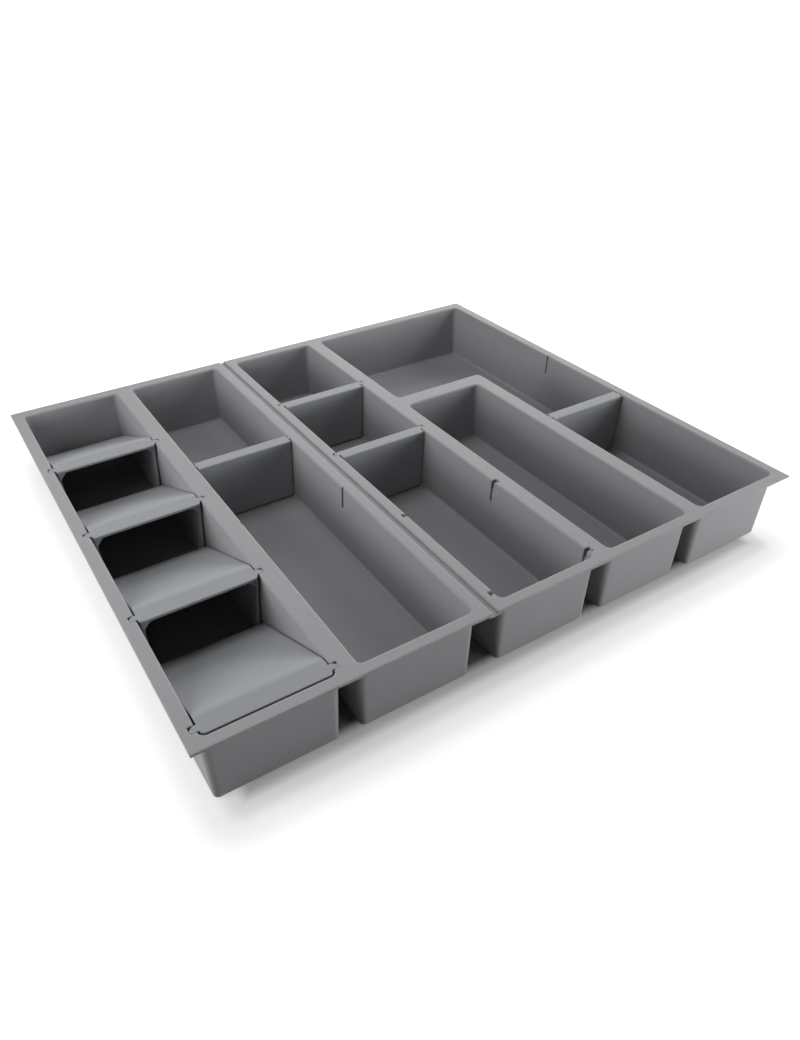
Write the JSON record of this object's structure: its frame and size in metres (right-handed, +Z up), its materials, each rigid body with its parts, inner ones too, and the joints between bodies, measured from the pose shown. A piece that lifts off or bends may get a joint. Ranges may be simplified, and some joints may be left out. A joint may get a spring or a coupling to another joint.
{
  "type": "cutlery tray",
  "caption": "Modular drawer tray for cutlery and spice jars, with open compartments under a flat rim, and sloping spice ramps and dividers that hang in slots and lift out.",
  "frame": {"origin": "middle of the bounding box in plan, on the drawer floor that the compartments stand on", "axes": "+X across the drawer to the right, +Y from the drawer's front to its back, +Z up"},
  "size_m": [0.53, 0.478, 0.061],
  "materials": {
    "tray_plastic": "fine matt moulded surface, grey",
    "insert_plastic": "fine matt moulded surface, grey"
  },
  "bodies": {
    "left_tray": {"left_tray": "tray_plastic"},
    "right_tray": {"right_tray": "tray_plastic"},
    "ramp_front": {"ramp_front": "insert_plastic"},
    "ramp_second": {"ramp_second": "insert_plastic"},
    "ramp_third": {"ramp_third": "insert_plastic"},
    "ramp_back": {"ramp_back": "insert_plastic"},
    "divider_long": {"divider_long": "insert_plastic"},
    "divider_middle": {"divider_middle": "insert_plastic"},
    "divider_back": {"divider_back": "insert_plastic"},
    "divider_arm": {"divider_arm": "insert_plastic"}
  },
  "joints": [
    {"name": "right_tray_lift", "type": "slide", "parent": "left_tray", "child": "right_tray", "axis": [0, 0, 1], "range_m": [0, 0.065]},
    {"name": "ramp_front_lift", "type": "slide", "parent": "left_tray", "child": "ramp_front", "axis": [0, 0, 1], "range_m": [0, 0.062]},
    {"name": "ramp_second_lift", "type": "slide", "parent": "left_tray", "child": "ramp_second", "axis": [0, 0, 1], "range_m": [0, 0.062]},
    {"name": "ramp_third_lift", "type": "slide", "parent": "left_tray", "child": "ramp_third", "axis": [0, 0, 1], "range_m": [0, 0.062]},
    {"name": "ramp_back_lift", "type": "slide", "parent": "left_tray", "child": "ramp_back", "axis": [0, 0, 1], "range_m": [0, 0.062]},
    {"name": "divider_long_lift", "type": "slide", "parent": "left_tray", "child": "divider_long", "axis": [0, 0, 1], "range_m": [0, 0.062]},
    {"name": "divider_middle_lift", "type": "slide", "parent": "right_tray", "child": "divider_middle", "axis": [0, 0, 1], "range_m": [0, 0.062]},
    {"name": "divider_back_lift", "type": "slide", "parent": "right_tray", "child": "divider_back", "axis": [0, 0, 1], "range_m": [0, 0.062]},
    {"name": "divider_arm_lift", "type": "slide", "parent": "right_tray", "child": "divider_arm", "axis": [0, 0, 1], "range_m": [0, 0.062]}
  ]
}
